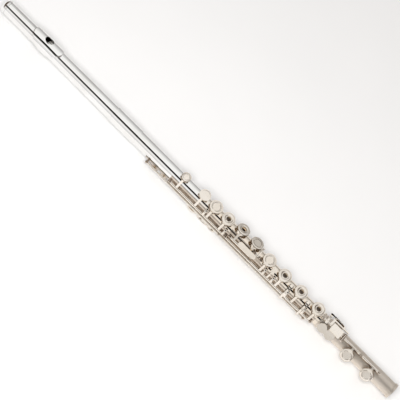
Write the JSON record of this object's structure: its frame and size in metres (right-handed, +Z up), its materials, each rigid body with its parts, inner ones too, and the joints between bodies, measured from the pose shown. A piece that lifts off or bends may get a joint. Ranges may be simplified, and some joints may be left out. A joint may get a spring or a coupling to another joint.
{
  "type": "concert flute",
  "caption": "Open-hole Boehm concert flute with a head joint, a body with offset G keys and a C foot joint, its keys hinged on rods and its joints sliding in sockets.",
  "frame": {"origin": "centre of the bore at the open end of the foot joint", "axes": "+X along the bore, out of the open end; +Z up through the finger keys; -Y towards the player"},
  "size_m": [0.6766, 0.0369, 0.0381],
  "materials": {
    "silver_tube": "polished silver plate over nickel silver",
    "foot_silver": "polished silver plate, slightly warm",
    "rib_silver": "polished silver plate, slightly warm",
    "key_silver": "polished and lightly hand-buffed silver plate",
    "roller_silver": "turned and polished silver",
    "rod_steel": "drawn steel",
    "spring_wire": "drawn phosphor bronze",
    "pad_skin": "fish skin over felt",
    "cork": "natural cork"
  },
  "bodies": {
    "body_joint": {"body_tube": "silver_tube", "barrel": "silver_tube", "body_ribs": "rib_silver", "body_posts": "rib_silver", "body_steels": "rod_steel", "body_springs": "spring_wire"},
    "head_joint": {"head_tube": "silver_tube", "lip_plate": "silver_tube", "riser": "silver_tube"},
    "crown": {"crown": "silver_tube"},
    "stopper": {"stopper_cork": "cork", "stopper_screw": "rod_steel", "stopper_nut": "rod_steel"},
    "foot_joint": {"foot_tube": "foot_silver", "foot_socket": "foot_silver", "foot_end_ring": "foot_silver", "foot_rib": "foot_silver", "foot_posts": "foot_silver", "foot_springs": "spring_wire"},
    "c_sharp_key": {"c_sharp_key": "key_silver", "c_sharp_key_pad": "pad_skin"},
    "thumb_b_key": {"thumb_b_key": "key_silver", "thumb_b_key_pad": "pad_skin"},
    "thumb_b_flat_lever": {"thumb_b_flat_lever": "key_silver"},
    "b_flat_key": {"b_flat_key": "key_silver", "b_flat_key_pad": "pad_skin"},
    "a_key": {"a_key": "key_silver", "a_key_pad": "pad_skin"},
    "g_key": {"g_key": "key_silver", "g_key_pads": "pad_skin"},
    "g_sharp_key": {"g_sharp_key": "key_silver", "g_sharp_key_pad": "pad_skin"},
    "f_sharp_key": {"f_sharp_key": "key_silver", "f_sharp_key_pad": "pad_skin"},
    "f_key": {"f_key": "key_silver", "f_key_pad": "pad_skin"},
    "e_key": {"e_key": "key_silver", "e_key_pad": "pad_skin"},
    "d_key": {"d_key": "key_silver", "d_key_pad": "pad_skin"},
    "d_trill_key": {"d_trill_key": "key_silver", "d_trill_key_pad": "pad_skin"},
    "d_sharp_trill_key": {"d_sharp_trill_key": "key_silver", "d_sharp_trill_key_pad": "pad_skin"},
    "side_b_flat_lever": {"side_b_flat_lever": "key_silver"},
    "d_sharp_key": {"d_sharp_key": "key_silver", "d_sharp_key_pad": "pad_skin"},
    "low_c_sharp_key": {"low_c_sharp_key": "key_silver", "low_c_sharp_key_pad": "pad_skin"},
    "low_c_key": {"low_c_key": "key_silver", "low_c_key_pad": "pad_skin"},
    "low_c_roller": {"low_c_roller": "roller_silver"}
  },
  "joints": [
    {"name": "head_slide", "type": "slide", "parent": "body_joint", "child": "head_joint", "axis": [-1, 0, 0], "range_m": [-0.005, 0.02]},
    {"name": "foot_turn", "type": "hinge", "parent": "body_joint", "child": "foot_joint", "pos_m": [0, 0, 0], "axis": [1, 0, 0], "range_deg": [-30, 30]},
    {"name": "crown_turn", "type": "hinge", "parent": "head_joint", "child": "crown", "pos_m": [0, 0, 0], "axis": [1, 0, 0], "range_deg": [-720, 720]},
    {"name": "stopper_slide", "type": "slide", "parent": "head_joint", "child": "stopper", "axis": [1, 0, 0], "range_m": [-0.002, 0.002]},
    {"name": "c_sharp_key_press", "type": "hinge", "parent": "body_joint", "child": "c_sharp_key", "pos_m": [0, -0.01349, 0.00047], "axis": [-1, 0, 0], "range_deg": [0, 7.5], "stiffness_Nm_per_rad": 0.02, "springref_deg": -17.19},
    {"name": "a_key_press", "type": "hinge", "parent": "body_joint", "child": "a_key", "pos_m": [0, -0.01349, 0.00047], "axis": [-1, 0, 0], "range_deg": [0, 7.5], "stiffness_Nm_per_rad": 0.02, "springref_deg": -17.19},
    {"name": "f_key_press", "type": "hinge", "parent": "body_joint", "child": "f_key", "pos_m": [0, -0.01349, 0.00047], "axis": [-1, 0, 0], "range_deg": [0, 7.5], "stiffness_Nm_per_rad": 0.02, "springref_deg": -17.19},
    {"name": "e_key_press", "type": "hinge", "parent": "body_joint", "child": "e_key", "pos_m": [0, -0.01349, 0.00047], "axis": [-1, 0, 0], "range_deg": [0, 7.5], "stiffness_Nm_per_rad": 0.02, "springref_deg": -17.19},
    {"name": "d_key_press", "type": "hinge", "parent": "body_joint", "child": "d_key", "pos_m": [0, -0.01349, 0.00047], "axis": [-1, 0, 0], "range_deg": [0, 7.5], "stiffness_Nm_per_rad": 0.02, "springref_deg": -17.19},
    {"name": "b_flat_key_press", "type": "hinge", "parent": "body_joint", "child": "b_flat_key", "pos_m": [0, -0.01349, 0.00047], "axis": [-1, 0, 0], "range_deg": [0, 7.5], "stiffness_Nm_per_rad": 0.02, "springref_deg": -17.19},
    {"name": "f_sharp_key_press", "type": "hinge", "parent": "body_joint", "child": "f_sharp_key", "pos_m": [0, -0.01349, 0.00047], "axis": [-1, 0, 0], "range_deg": [0, 7.5], "stiffness_Nm_per_rad": 0.02, "springref_deg": -17.19},
    {"name": "side_b_flat_lever_press", "type": "hinge", "parent": "body_joint", "child": "side_b_flat_lever", "pos_m": [0, -0.01349, 0.00047], "axis": [-1, 0, 0], "range_deg": [0, 5], "stiffness_Nm_per_rad": 0.02, "springref_deg": -17.19},
    {"name": "g_key_press", "type": "hinge", "parent": "body_joint", "child": "g_key", "pos_m": [0, -0.01203, 0.00613], "axis": [-1, 0, 0], "range_deg": [0, 7.5], "stiffness_Nm_per_rad": 0.02, "springref_deg": -17.19},
    {"name": "g_sharp_key_press", "type": "hinge", "parent": "body_joint", "child": "g_sharp_key", "pos_m": [0, -0.00675, 0.01169], "axis": [1, 0, 0], "range_deg": [0, 7], "stiffness_Nm_per_rad": 0.02, "springref_deg": -17.19},
    {"name": "d_trill_key_press", "type": "hinge", "parent": "body_joint", "child": "d_trill_key", "pos_m": [0, -0.01353, -0.00492], "axis": [-1, 0, 0], "range_deg": [0, 6], "stiffness_Nm_per_rad": 0.02, "springref_deg": -17.19},
    {"name": "d_sharp_trill_key_press", "type": "hinge", "parent": "body_joint", "child": "d_sharp_trill_key", "pos_m": [0, -0.01353, -0.00492], "axis": [-1, 0, 0], "range_deg": [0, 6], "stiffness_Nm_per_rad": 0.02, "springref_deg": -17.19},
    {"name": "thumb_b_key_press", "type": "hinge", "parent": "body_joint", "child": "thumb_b_key", "pos_m": [0, 0.00868, -0.01034], "axis": [-1, 0, 0], "range_deg": [0, 7.5], "stiffness_Nm_per_rad": 0.02, "springref_deg": -17.19},
    {"name": "thumb_b_flat_lever_press", "type": "hinge", "parent": "body_joint", "child": "thumb_b_flat_lever", "pos_m": [0, 0.00868, -0.01034], "axis": [-1, 0, 0], "range_deg": [0, 7.5], "stiffness_Nm_per_rad": 0.02, "springref_deg": -17.19},
    {"name": "d_sharp_key_press", "type": "hinge", "parent": "foot_joint", "child": "d_sharp_key", "pos_m": [0, -0.00344, 0.01285], "axis": [1, 0, 0], "range_deg": [0, 7], "stiffness_Nm_per_rad": 0.02, "springref_deg": -17.19},
    {"name": "low_c_sharp_key_press", "type": "hinge", "parent": "foot_joint", "child": "low_c_sharp_key", "pos_m": [0, -0.00344, 0.01285], "axis": [1, 0, 0], "range_deg": [0, 10], "stiffness_Nm_per_rad": 0.02, "springref_deg": -17.19},
    {"name": "low_c_key_press", "type": "hinge", "parent": "foot_joint", "child": "low_c_key", "pos_m": [0, -0.00344, 0.01285], "axis": [1, 0, 0], "range_deg": [0, 10], "stiffness_Nm_per_rad": 0.02, "springref_deg": -17.19},
    {"name": "roller_spin", "type": "hinge", "parent": "low_c_key", "child": "low_c_roller", "pos_m": [-0.0912, -0.00654, 0.01667], "axis": [0, -0.9703, -0.2419], "continuous": true}
  ],
  "couplings": [
    {"joint": "crown_turn", "follows": "stopper_slide", "rad_per_m": 6283.2},
    {"joint": "b_flat_key_press", "follows": "a_key_press", "ratio": 1},
    {"joint": "f_sharp_key_press", "follows": "f_key_press", "ratio": 1}
  ]
}
